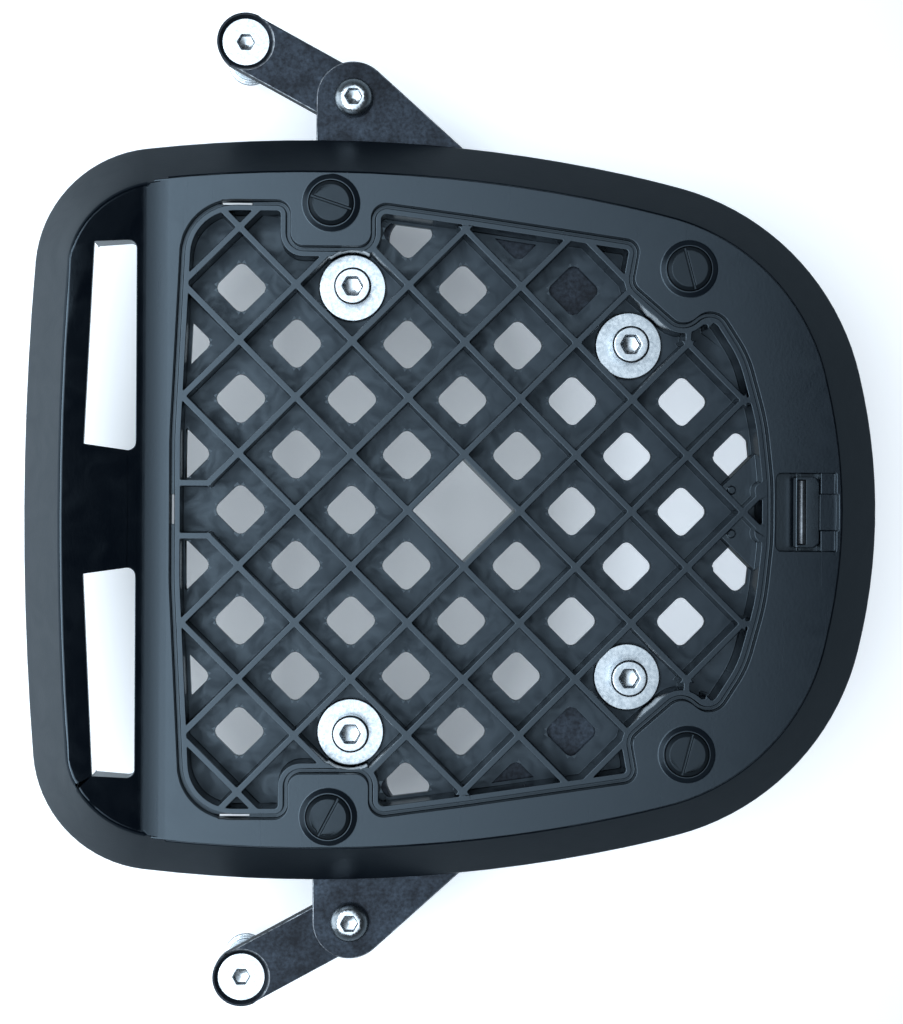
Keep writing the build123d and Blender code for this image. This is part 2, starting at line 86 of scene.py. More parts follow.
class Slot(Enum):
    """The record's material slots."""

    PLATE = "plate_plastic"
    KEEPER = "keeper_plastic"
    PLUG = "plug_plastic"
    PIN = "pin_steel"
    BLACK_STEEL = "black_steel"
    ZINC = "zinc_hardware"


class PlateSkin(Enum):
    """The moulded plate's finishes, by their place in its material list."""

    SMOOTH = 0
    GRAINED = 1
    FLOORS = 2
    # Polished ramp, with a darker colour that is painted shade.
    POLISHED_AND_SHADED = 3


def linear(hex_colour: str) -> tuple[float, float, float, float]:
    """Turns an sRGB hex colour into linear RGBA.

    Args:
        hex_colour: Six hex digits, such as "1a2b3c".

    Returns:
        The linear red, green, blue and an alpha of 1.
    """
    parts = [int(hex_colour[i : i + 2], 16) / 255 for i in (0, 2, 4)]
    red, green, blue = (c / 12.92 if c <= 0.04045 else ((c + 0.055) / 1.055) ** 2.4 for c in parts)
    return red, green, blue, 1.0


def set_sockets(tree: bpy.types.NodeTree, node: bpy.types.Node, inputs: Inputs) -> None:
    """Sets or links a node's sockets.

    Args:
        tree: The node's tree.
        node: The node.
        inputs: Values for its sockets by name or number; an output socket given here is linked.
    """
    for key, value in inputs.items():
        if isinstance(value, bpy.types.NodeSocket):
            tree.links.new(value, node.inputs[key])
        else:
            node.inputs[key].default_value = value


def add_node(tree: bpy.types.NodeTree, kind: str, inputs: Optional[Inputs] = None, **settings) -> bpy.types.Node:
    """Adds one shader node.

    Args:
        tree: The node tree that takes it.
        kind: The node's type name.
        inputs: Values for its sockets by name or number; an output socket given here is linked.
        settings: Properties of the node itself.

    Returns:
        The new node.
    """
    node = tree.nodes.new(kind)
    for name, value in settings.items():
        setattr(node, name, value)
    set_sockets(tree, node, inputs or {})
    return node


def new_finish(name: str) -> tuple[bpy.types.Material, bpy.types.NodeTree, bpy.types.NodeSocket]:
    """Starts a material.

    Args:
        name: The material's name.

    Returns:
        The material, its nodes and the Object coordinates of the piece that wears it.
    """
    made = bpy.data.materials.new(name)
    made.use_nodes = True
    tree = made.node_tree
    return made, tree, add_node(tree, "ShaderNodeTexCoord").outputs["Object"]


def per_metre(size_mm: float) -> float:
    """The noise scale that gives features of about this size on Object coordinates."""
    return 1.0 / (size_mm * MM)


@dataclass(frozen=True)
class MouldedPlastic:
    """Injection-moulded plastic: a satin skin with faint flow marks and handling scratches.

    A mould's grain is too fine to show in the picture, so grain_mm draws it several times coarser.
    """

    name: str
    colour: str
    roughness: float
    sheen: str = "d4ecff"
    ior: float = 1.5
    gloss: float = 0.56
    flow_mm: float = 16.0
    flow_band: Span = (0.3, 0.7)
    flow_depth: float = 0.03
    grain_mm: float = 0.9
    grain_height_mm: float = 0.012
    scratches: float = 0.0
    scratch_mm: Triple = (0.7, 38.0, 30.0)
    scratch_turn: float = 0.5
    scratch_band: Span = (0.66, 0.74)

    def material(self) -> bpy.types.Material:
        """The finish as a Blender material."""
        made, tree, place = new_finish(self.name)
        flow = add_node(
            tree,
            "ShaderNodeTexNoise",
            {"Vector": place, "Scale": per_metre(self.flow_mm), "Detail": 3.0, "Distortion": 1.6},
        )
        rough = add_node(
            tree,
            "ShaderNodeMapRange",
            {
                "Value": flow.outputs["Fac"],
                "From Min": self.flow_band[0],
                "From Max": self.flow_band[1],
                "To Min": self.roughness - self.flow_depth,
                "To Max": self.roughness + self.flow_depth,
            },
        ).outputs["Result"]
        if self.scratches:
            rough = self.scratched(tree, place, rough)
        grain = add_node(
            tree, "ShaderNodeTexNoise", {"Vector": place, "Scale": per_metre(self.grain_mm), "Detail": 2.0}
        )
        bump = add_node(
            tree,
            "ShaderNodeBump",
            {"Height": grain.outputs["Fac"], "Distance": self.grain_height_mm * MM, "Strength": 1.0},
        )
        set_sockets(
            tree,
            tree.nodes["Principled BSDF"],
            {
                "Base Color": linear(self.colour),
                "Roughness": rough,
                "IOR": self.ior,
                "Specular IOR Level": self.gloss,
                "Specular Tint": linear(self.sheen),
                "Normal": bump.outputs["Normal"],
            },
        )
        return made

    def scratched(
        self, tree: bpy.types.NodeTree, place: bpy.types.NodeSocket, rough: bpy.types.NodeSocket
    ) -> bpy.types.NodeSocket:
        """Roughens the skin along fine lines.

        Args:
            tree: The material's nodes.
            place: The piece's Object coordinates.
            rough: The roughness without scratches.

        Returns:
            The roughness with them.
        """
        turned = add_node(
            tree,
            "ShaderNodeMapping",
            {
                "Vector": place,
                "Rotation": (0.0, 0.0, self.scratch_turn),
                "Scale": tuple(per_metre(size) for size in self.scratch_mm),
            },
        )
        lines = add_node(
            tree, "ShaderNodeTexNoise", {"Vector": turned.outputs["Vector"], "Scale": 1.0, "Detail": 2.0}
        )
        thin = add_node(
            tree,
            "ShaderNodeMapRange",
            {
                "Value": lines.outputs["Fac"],
                "From Min": self.scratch_band[0],
                "From Max": self.scratch_band[1],
                "To Max": self.scratches,
            },
        )
        return add_node(tree, "ShaderNodeMath", {0: rough, 1: thin.outputs["Result"]}, operation="ADD").outputs[0]


@dataclass(frozen=True)
class CoatedSteel:
    """Flat steel with a thin black conversion coat, mottled and scuffed so that bare steel glints through.

    The coat's own crystals are too fine to show, so mottle_mm draws them coarser.
    """

    name: str
    dark: str
    light: str
    roughness: float
    metallic: float = 0.75
    mottle_mm: float = 1.3
    scuff_mm: float = 14.0
    worn_band: Span = (0.14, 0.5)
    worn_gloss: float = 0.08
    bump_height_mm: float = 0.02

    def material(self) -> bpy.types.Material:
        """The finish as a Blender material."""
        made, tree, place = new_finish(self.name)
        mottle = add_node(
            tree,
            "ShaderNodeTexNoise",
            {"Vector": place, "Scale": per_metre(self.mottle_mm), "Detail": 5.0, "Roughness": 0.65},
        )
        scuff = add_node(
            tree,
            "ShaderNodeTexNoise",
            {"Vector": place, "Scale": per_metre(self.scuff_mm), "Detail": 4.0, "Distortion": 0.8},
        )
        both = add_node(
            tree,
            "ShaderNodeMath",
            {0: mottle.outputs["Fac"], 1: scuff.outputs["Fac"]},
            operation="MULTIPLY",
        )
        worn = add_node(
            tree,
            "ShaderNodeMapRange",
            {"Value": both.outputs[0], "From Min": self.worn_band[0], "From Max": self.worn_band[1]},
        ).outputs["Result"]
        colour = add_node(
            tree, "ShaderNodeMix", {0: worn, 6: linear(self.dark), 7: linear(self.light)}, data_type="RGBA"
        )
        rough = add_node(
            tree,
            "ShaderNodeMapRange",
            {
                "Value": worn,
                "To Min": self.roughness + self.worn_gloss,
                "To Max": self.roughness - self.worn_gloss,
            },
        )
        bump = add_node(
            tree,
            "ShaderNodeBump",
            {"Height": mottle.outputs["Fac"], "Distance": self.bump_height_mm * MM, "Strength": 1.0},
        )
        set_sockets(
            tree,
            tree.nodes["Principled BSDF"],
            {
                "Base Color": colour.outputs[2],
                "Metallic": self.metallic,
                "Roughness": rough.outputs["Result"],
                "Normal": bump.outputs["Normal"],
            },
        )
        return made


@dataclass(frozen=True)
class PlatedSteel:
    """Zinc plating on steel: a pale metal with a speckled, slightly wavy skin.

    The zinc's own crystals are too fine to show, so speckle_mm draws them coarser.
    """

    name: str
    colour: str
    shade: str
    roughness: float
    speckle_mm: float = 1.2
    speckle_band: Span = (0.35, 0.65)
    speckle_gloss: float = 0.06
    bump_height_mm: float = 0.008

    def material(self) -> bpy.types.Material:
        """The finish as a Blender material."""
        made, tree, place = new_finish(self.name)
        speckle = add_node(
            tree,
            "ShaderNodeTexNoise",
            {"Vector": place, "Scale": per_metre(self.speckle_mm), "Detail": 4.0, "Roughness": 0.6},
        )
        tone = add_node(
            tree,
            "ShaderNodeMapRange",
            {
                "Value": speckle.outputs["Fac"],
                "From Min": self.speckle_band[0],
                "From Max": self.speckle_band[1],
            },
        ).outputs["Result"]
        colour = add_node(
            tree, "ShaderNodeMix", {0: tone, 6: linear(self.shade), 7: linear(self.colour)}, data_type="RGBA"
        )
        rough = add_node(
            tree,
            "ShaderNodeMapRange",
            {
                "Value": tone,
                "To Min": self.roughness + self.speckle_gloss,
                "To Max": self.roughness - self.speckle_gloss,
            },
        )
        bump = add_node(
            tree,
            "ShaderNodeBump",
            {"Height": speckle.outputs["Fac"], "Distance": self.bump_height_mm * MM, "Strength": 1.0},
        )
        set_sockets(
            tree,
            tree.nodes["Principled BSDF"],
            {
                "Base Color": colour.outputs[2],
                "Metallic": 1.0,
                "Roughness": rough.outputs["Result"],
                "Normal": bump.outputs["Normal"],
            },
        )
        return made


def select_none() -> None:
    """Goes back to object mode with nothing selected."""
    if bpy.context.object and bpy.context.object.mode != "OBJECT":
        bpy.ops.object.mode_set(mode="OBJECT")
    bpy.ops.object.select_all(action="DESELECT")


def make_active(piece: bpy.types.Object) -> None:
    """Selects one object alone and makes it the active one."""
    select_none()
    piece.select_set(True)
    bpy.context.view_layer.objects.active = piece


def open_mesh(piece: bpy.types.Object, kind: str, action: str) -> bmesh.types.BMesh:
    """Opens a piece in edit mode.

    Args:
        piece: The mesh object.
        kind: What is selected there: VERT, EDGE or FACE.
        action: SELECT for all of it, or DESELECT.

    Returns:
        The mesh that is being edited.
    """
    make_active(piece)
    bpy.ops.object.mode_set(mode="EDIT")
    bpy.ops.mesh.select_mode(type=kind)
    bpy.ops.mesh.select_all(action=action)
    return bmesh.from_edit_mesh(piece.data)


def merged_copy(node: str, name: str, *finishes: bpy.types.Material) -> bpy.types.Object:
    """Copies a CAD node's mesh and joins its loose triangles into whole faces.

    Args:
        node: The CAD node.
        name: The new piece's name.
        finishes: The piece's materials, in slot order.

    Returns:
        The new piece, in place.
    """
    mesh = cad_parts[node].data.copy()
    mesh.name = name
    mesh.materials.clear()
    for finish in finishes:
        mesh.materials.append(finish)
    piece = bpy.data.objects.new(name, mesh)
    bpy.context.scene.collection.objects.link(piece)
    make_active(piece)
    bpy.ops.mesh.customdata_custom_splitnormals_clear()
    open_mesh(piece, "VERT", "SELECT")
    bpy.ops.mesh.remove_doubles(threshold=MERGE_M)
    bpy.ops.mesh.tris_convert_to_quads(
        face_threshold=math.radians(COPLANAR), shape_threshold=math.radians(ANY_SHAPE)
    )
    bpy.ops.object.mode_set(mode="OBJECT")
    return piece


def select_edges(piece: bpy.types.Object, wanted: EdgeTest) -> int:
    """Selects in edit mode the edges that a test accepts.

    Args:
        piece: The mesh object, which is left in edit mode.
        wanted: The test.

    Returns:
        How many edges it accepted.
    """
    edit = open_mesh(piece, "EDGE", "DESELECT")
    count = 0
    for edge in edit.edges:
        if wanted(edge):
            edge.select_set(True)
            count += 1
    bmesh.update_edit_mesh(piece.data)
    return count


def corner_angle(edge: bmesh.types.BMEdge) -> float:
    """The turn between an edge's two faces in degrees, or 0 on an open edge."""
    return math.degrees(edge.calc_face_angle(0.0))


def edge_middle(edge: bmesh.types.BMEdge) -> Vector:
    """The point midway along an edge, in metres."""
    return (edge.verts[0].co + edge.verts[1].co) / 2


def lies_at(edge: bmesh.types.BMEdge, level_mm: float, slack_mm: float = ON_LEVEL_MM) -> bool:
    """True for an edge whose two ends lie at a height."""
    return all(abs(vert.co.z / MM - level_mm) < slack_mm for vert in edge.verts)


def round_edges(
    piece: bpy.types.Object,
    width_mm: float,
    segments: int = 2,
    finish_index: int = -1,
    sliver: float = 14.0,
    spared: EdgeTest = lambda edge: False,
) -> None:
    """Rounds every sharp edge of a piece and shades it.

    Two such edges that run out of one corner side by side keep their corner, as a rounding there would run
    far along both.

    Args:
        piece: The mesh object.
        width_mm: The rounding's width.
        segments: Faces across the rounding.
        finish_index: The material slot of the rounded faces, or -1 for that of the faces beside them.
        sliver: The angle in degrees between two edges side by side.
        spared: A test for edges that stay as they are.
    """

    def is_sharp(edge: bmesh.types.BMEdge) -> bool:
        """True for a corner of the part."""
        return corner_angle(edge) > SHARP_TURN

    def ends_in_sliver(edge: bmesh.types.BMEdge) -> bool:
        """True where another sharp edge leaves one of the edge's ends almost along it."""
        for vert in edge.verts:
            way = edge.other_vert(vert).co - vert.co
            for other in vert.link_edges:
                if other is not edge and is_sharp(other):
                    if way.angle(other.other_vert(vert).co - vert.co, math.pi) < math.radians(sliver):
                        return True
        return False

    select_edges(piece, lambda edge: is_sharp(edge) and not spared(edge) and not ends_in_sliver(edge))
    bpy.ops.mesh.bevel(
        offset=width_mm * MM,
        segments=segments,
        affect="EDGES",
        clamp_overlap=False,
        material=finish_index,
        miter_outer="ARC",
    )
    bpy.ops.object.mode_set(mode="OBJECT")
    shade(piece)


def shade(piece: bpy.types.Object, sharper_than: float = 40.0) -> None:
    """Shades a piece smooth, with creases at edges that turn by more degrees, and its flat faces kept flat."""
    make_active(piece)
    bpy.ops.object.shade_smooth_by_angle(angle=math.radians(sharper_than))
    bpy.ops.object.modifier_add(type="WEIGHTED_NORMAL")
    weighted = piece.modifiers[-1]
    weighted.keep_sharp = True
    bpy.ops.object.modifier_apply(modifier=weighted.name)


def slope_normal(slope: float) -> Vector:
    """The normal of a flat that leans to the rear by some degrees."""
    lean = math.radians(slope)
    return Vector((math.sin(lean), 0.0, math.cos(lean)))


def keep_flats(piece: bpy.types.Object, slopes: tuple[float, ...]) -> None:
    """Gives flat faces their own normals, so that no rounding beside them tilts their reflection.

    Args:
        piece: The mesh object.
        slopes: How far the flats lean to the rear, in degrees.
    """
    flats = [slope_normal(slope) for slope in slopes]
    mesh = piece.data
    normals = [Vector(corner.vector) for corner in mesh.corner_normals]
    for face in mesh.polygons:
        if any(face.normal.dot(flat) > FLAT_MATCH for flat in flats):
            for corner in face.loop_indices:
                normals[corner] = face.normal
    mesh.normals_split_custom_set(normals)


def cut_level(level_mm: float, keeps_above: bool) -> None:
    """Cuts the mesh in edit mode at a level, drops what lies on one side and closes the cut.

    Args:
        level_mm: Height of the cut.
        keeps_above: Whether the upper side stays, or the lower one.
    """
    bpy.ops.mesh.select_all(action="SELECT")
    bpy.ops.mesh.bisect(
        plane_co=(0.0, 0.0, level_mm * MM),
        plane_no=UPWARD,
        use_fill=True,
        clear_inner=keeps_above,
        clear_outer=not keeps_above,
    )


def chamfer_mouths(
    piece: bpy.types.Object,
    level_mm: float,
    reach_mm: float,
    width_mm: float,
    axes: list[PlanPoint],
    sharper_than: float = 30.0,
) -> None:
    """Chamfers the edges of the sockets that open at a level.

    Args:
        piece: The group of bolts.
        level_mm: Height of the heads' tops.
        reach_mm: How far the socket's corners lie from a bolt's axis, at most.
        width_mm: The chamfer's width.
        axes: X and Y of the bolts' axes in metres.
        sharper_than: The least turn at a mouth's edge, in degrees.
    """

    def is_mouth(edge: bmesh.types.BMEdge) -> bool:
        """True for an edge of a socket's mouth."""
        if not lies_at(edge, level_mm) or corner_angle(edge) < sharper_than:
            return False
        middle = edge_middle(edge)
        return any(math.hypot(middle.x - x, middle.y - y) < reach_mm * MM for x, y in axes)

    count = select_edges(piece, is_mouth)
    log.info("%s: %d socket edges", piece.name, count)
    bpy.ops.mesh.bevel(offset=width_mm * MM, segments=1, affect="EDGES")
    bpy.ops.object.mode_set(mode="OBJECT")


def deepen_sockets(piece: bpy.types.Object, floor_mm: float, cone_mm: float, drop_mm: float) -> None:
    """Turns the flat floor of each hexagon socket into the blunt cone that a drill leaves.

    Args:
        piece: The group of bolts.
        floor_mm: Height of the flat floors.
        cone_mm: The cone's width, in from the socket's walls.
        drop_mm: The cone's depth.
    """
    edit = open_mesh(piece, "FACE", "DESELECT")
    for face in edit.faces:
        level = face.calc_center_median().z / MM
        if face.normal.z > LEVEL_MATCH and abs(level - floor_mm) < ON_LEVEL_MM:
            face.select_set(True)
    bmesh.update_edit_mesh(piece.data)
    bpy.ops.mesh.inset(thickness=cone_mm * MM, depth=0.0)
    bpy.ops.transform.translate(value=(0.0, 0.0, -drop_mm * MM))
    bpy.ops.object.mode_set(mode="OBJECT")


@dataclass(frozen=True)
class Thread:
    """A coarse metric thread, as one helical groove round a rod.

    The profile's steps run up one turn: outwards as a share of the thread's depth, and up as one of its pitch.
    """

    major_mm: float = 3.97
    minor_mm: float = 3.3
    pitch_mm: float = 1.25
    profile: tuple[Span, ...] = ((0.0, 0.2), (1.0, 0.32), (0.0, 0.16), (-1.0, 0.32))
    steps: int = 24
    spare_turns: int = 2
    seam_m: float = 1e-6
    crease: float = 25.0
    point_mm: float = 0.9
    point_share: float = 0.86

    def rod(self, top_mm: float, end_mm: float) -> bpy.types.Object:
        """Models a threaded rod on the Z axis.

        Args:
            top_mm: Height of its upper end.
            end_mm: Height of its chamfered lower end.

        Returns:
            The rod as a closed mesh.
        """
        pitch, depth = self.pitch_mm * MM, (self.major_mm - self.minor_mm) * MM
        select_none()
        bpy.ops.mesh.primitive_plane_add(size=pitch, location=(self.minor_mm * MM, 0.0, end_mm * MM - pitch))
        rod = bpy.context.object
        bpy.ops.object.transform_apply(location=True, rotation=True, scale=True)
        open_mesh(rod, "VERT", "SELECT")
        bpy.ops.mesh.merge(type="CENTER")
        for out, rise in self.profile:
            bpy.ops.mesh.extrude_region_move(TRANSFORM_OT_translate={"value": (out * depth, 0.0, rise * pitch)})
        bpy.ops.object.mode_set(mode="OBJECT")
        bpy.ops.object.modifier_add(type="SCREW")
        screw = rod.modifiers[-1]
        screw.screw_offset = pitch
        screw.iterations = math.ceil((top_mm - end_mm) / self.pitch_mm) + self.spare_turns
        screw.steps = screw.render_steps = self.steps
        bpy.ops.object.modifier_apply(modifier=screw.name)
        self.close(rod, top_mm, end_mm)
        shade(rod, sharper_than=self.crease)
        return rod

    def close(self, rod: bpy.types.Object, top_mm: float, end_mm: float) -> None:
        """Trims a rod's helix between two levels, closes it and chamfers its lower end.

        Args:
            rod: The rod's open helix.
            top_mm: Height of its upper end.
            end_mm: Height of its lower end.
        """
        open_mesh(rod, "VERT", "SELECT")
        bpy.ops.mesh.remove_doubles(threshold=self.seam_m)
        cut_level(top_mm, keeps_above=False)
        cut_level(end_mm, keeps_above=True)
        bpy.ops.mesh.select_all(action="SELECT")
        bpy.ops.mesh.normals_make_consistent(inside=False)
        bpy.ops.mesh.select_all(action="DESELECT")
        edit = bmesh.from_edit_mesh(rod.data)
        for vert in edit.verts:
            vert.select_set(vert.co.z < (end_mm + self.point_mm) * MM)
        edit.select_flush(True)
        bmesh.update_edit_mesh(rod.data)
        narrow = self.point_share
        bpy.ops.transform.resize(value=(narrow, narrow, 1.0), center_override=(0.0, 0.0, end_mm * MM))
        bpy.ops.object.mode_set(mode="OBJECT")


def join_copies(piece: bpy.types.Object, part: bpy.types.Object, places: list[PlanPoint]) -> None:
    """Joins one copy of a part at each plan place into a piece, and drops the part itself.

    Args:
        piece: The piece that takes the copies.
        part: The part, on the Z axis.
        places: X and Y of each copy in metres.
    """
    copies = []
    for x, y in places:
        copy = bpy.data.objects.new(f"{part.name}_copy", part.data.copy())
        copy.data.transform(Matrix.Translation((x, y, 0.0)))
        bpy.context.scene.collection.objects.link(copy)
        copies.append(copy)
    make_active(part)
    bpy.ops.object.delete()
    make_active(piece)
    for copy in copies:
        copy.select_set(True)
    bpy.ops.object.join()


def dress(piece: bpy.types.Object, stands_for: str) -> None:
    """Puts a finished piece on its body and hides the CAD node that it stands for.

    Args:
        piece: The finished piece.
        stands_for: The CAD node that it replaces.
    """
    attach(piece, BODY)
    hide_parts(stands_for)
    log.info("%s stands for %s, %d faces", piece.name, stands_for, len(piece.data.polygons))


@dataclass
class Moulding:
    """The moulded plate: deck, front lip, skirt and the lattice tray.

    Turns are the least and the most degrees between the two faces at an edge.
    """

    edge_mm: float = 0.3
    floor_low_mm: float = 47.0
    floor_high_mm: float = 50.0
    floor_band_mm: float = 0.05
    floor_match: float = 0.999
    hole_flat_mm: float = 1.12
    hole_corner_turn: Span = (40.0, 50.0)
    upright_m: float = 1e-6
    rim_mm: float = 0.12
    deck_mm: float = 67.0
    crest_mm: float = 1.2
    crest_rise_mm: float = 0.6
    crest_turn: Span = (35.0, 100.0)
    slot_rear_x_mm: float = -55.0
    slot_outer_y_mm: float = 95.0
    lip_level_mm: float = 49.5
    lip_mm: float = 0.9
    lip_turn: Span = (10.0, 70.0)
    lip_overhang: float = -0.01
    ramp_slope: float = 16.0
    ramp_match: float = 0.9995
    skirt_tilt: Span = (0.35, 0.85)
    # Moulded against smooth steel: a cool satin black with long soft reflections and a few hair scratches.
    smooth: MouldedPlastic = MouldedPlastic("black moulded polypropylene", "04080f", 0.21, scratches=0.08)
    # Moulded against a grained tool: the same black, but its reflections spread out and go dull.
    grained: MouldedPlastic = MouldedPlastic(
        "grained black polypropylene", "04080f", 0.36, grain_height_mm=0.02
    )
    # Where the melt met behind the ribs: cloudy patches, half matt and half satin.
    floors: MouldedPlastic = MouldedPlastic(
        "flow-marked black polypropylene", "060b13", 0.46, flow_mm=9.0, flow_depth=0.12
    )
    # Moulded against polished steel: a near mirror that looks as dark as the room above it, and coloured a shade
    # darker than the deck, which is painted shade for the ramp.
    polished: MouldedPlastic = MouldedPlastic("polished black polypropylene in painted shade", "03060c", 0.15)

    def is_hole_corner(self, edge: bmesh.types.BMEdge) -> bool:
        """True for the upright edges at the cut corners of the drain holes."""
        foot, head = sorted((vert.co for vert in edge.verts), key=lambda co: co.z)
        levels = ((foot, self.floor_low_mm), (head, self.floor_high_mm))
        spans = all(abs(end.z / MM - level) < ON_LEVEL_MM for end, level in levels)
        upright = (foot.xy - head.xy).length < self.upright_m
        least, most = self.hole_corner_turn
        return spans and upright and least < corner_angle(edge) < most

    def is_hole_rim(self, edge: bmesh.types.BMEdge) -> bool:
        """True for the edges round the drain holes, on the tray floor's two faces."""
        level = any(lies_at(edge, at, 2 * self.rim_mm) for at in (self.floor_low_mm, self.floor_high_mm))
        return level and edge.is_convex and corner_angle(edge) > SHARP_TURN

    def is_crest(self, edge: bmesh.types.BMEdge) -> bool:
        """True for the front lip's crest, where the ramp meets the skirt, outside the hook slots."""
        raised = min(vert.co.z for vert in edge.verts) / MM > self.deck_mm + self.crest_rise_mm
        middle = edge_middle(edge) / MM
        clear = middle.x < self.slot_rear_x_mm or abs(middle.y) > self.slot_outer_y_mm
        least, most = self.crest_turn
        return raised and clear and middle.x < 0.0 and least < corner_angle(edge) < most

    def is_lip(self, edge: bmesh.types.BMEdge) -> bool:
        """True for the line where the outer skirt turns down into its upright lip."""
        outside = all(face.normal.z > self.lip_overhang for face in edge.link_faces)
        least, most = self.lip_turn
        return lies_at(edge, self.lip_level_mm) and least < corner_angle(edge) < most and outside

    def build(self) -> None:
        """Models the plate with rounded drain holes, a soft front crest and softened edges."""
        finishes = {
            PlateSkin.SMOOTH: self.smooth,
            PlateSkin.GRAINED: self.grained,
            PlateSkin.FLOORS: self.floors,
            PlateSkin.POLISHED_AND_SHADED: self.polished,
        }
        skins = [finishes[skin].material() for skin in PlateSkin]
        plate = merged_copy("base_plate", "moulded_plate", *skins)
        self.assign_finishes(plate)
        for name, test, width_mm, segments in (
            ("drain hole corners", self.is_hole_corner, self.hole_flat_mm, 4),
            ("drain hole rims", self.is_hole_rim, self.rim_mm, 1),
            ("crest edges", self.is_crest, self.crest_mm, 4),
            ("lip edges", self.is_lip, self.lip_mm, 3),
        ):
            count = select_edges(plate, test)
            log.info("%s: %d", name, count)
            bpy.ops.mesh.bevel(offset=width_mm * MM, segments=segments, affect="EDGES")
            bpy.ops.object.mode_set(mode="OBJECT")
        round_edges(plate, self.edge_mm, spared=self.is_hole_rim)
        keep_flats(plate, (0.0, self.ramp_slope))
        dress(plate, stands_for="base_plate")

    def assign_finishes(self, plate: bpy.types.Object) -> None:
        """Gives the skirt its grain, the cells' floors their flow marks and the front ramp its polish and a
        darker colour, which is painted shade.
        """
        least, most = self.skirt_tilt
        ramp = slope_normal(self.ramp_slope)
        for face in plate.data.polygons:
            level_mm = face.center.z / MM
            if least < face.normal.z < most:
                skin = PlateSkin.GRAINED
            elif face.normal.z > self.floor_match and abs(level_mm - self.floor_high_mm) < self.floor_band_mm:
                skin = PlateSkin.FLOORS
            # The ramp's faces take the polished finish, whose darker colour is painted shade.
            elif face.normal.dot(ramp) > self.ramp_match and level_mm > self.deck_mm:
                skin = PlateSkin.POLISHED_AND_SHADED
            else:
                skin = PlateSkin.SMOOTH
            face.material_index = skin.value


@dataclass
class DeckPlugs:
    """The four slotted plugs in the deck's collars."""

    edge_mm: float = 0.22
    corners: tuple[str, ...] = ("front_left", "front_right", "rear_left", "rear_right")
    # Moulded rubber: a soft, even black that takes only a weak and wide highlight.
    finish: MouldedPlastic = MouldedPlastic(
        "black moulded rubber", "0c1014", 0.42, gloss=0.4, flow_mm=7.0, grain_mm=0.6
    )

    def build(self) -> None:
        """Models the plugs with rounded heads."""
        skin = self.finish.material()
        for corner in self.corners:
            plug = merged_copy(f"deck_plug_{corner}", f"plug_{corner}", skin)
            round_edges(plug, self.edge_mm, segments=3)
            dress(plug, stands_for=f"deck_plug_{corner}")


@dataclass
class Latch:
    """The keeper plate and the pin of the case's lock."""

    keeper_edge_mm: float = 0.3
    pin_edge_mm: float = 0.4
    # Smooth moulded polyamide: a harder, glossier black than the plate's.
    finish: MouldedPlastic = MouldedPlastic("smooth black polyamide", "0b0f14", 0.26, flow_mm=9.0)
    # Turned and polished under its black coat: a grey metal gleam along the pin.
    steel: CoatedSteel = CoatedSteel("polished black steel", "2a2d31", "5c6167", 0.24, mottle_mm=1.5)

    def build(self) -> None:
        """Models the keeper and the pin."""
        keeper = merged_copy("latch_keeper", "keeper_plate", self.finish.material())
        round_edges(keeper, self.keeper_edge_mm)
        dress(keeper, stands_for="latch_keeper")
        pin = merged_copy("latch_pin", "keeper_pin", self.steel.material())
        round_edges(pin, self.pin_edge_mm, segments=3)
        dress(pin, stands_for="latch_pin")


@dataclass(frozen=True)
class BoltForm:
    """What the dressed bolts of one group have beyond their CAD solids.

    The socket's mouth and floor and the thread's top are heights. The socket's reach is measured from the
    bolt's axis.
    """

    node: str
    edge_mm: float
    socket_mouth_mm: float
    socket_floor_mm: float
    socket_reach_mm: float
    thread_top_mm: float
    socket_cone_mm: float = 1.8
    socket_drop_mm: float = 0.55
    socket_chamfer_mm: float = 0.3


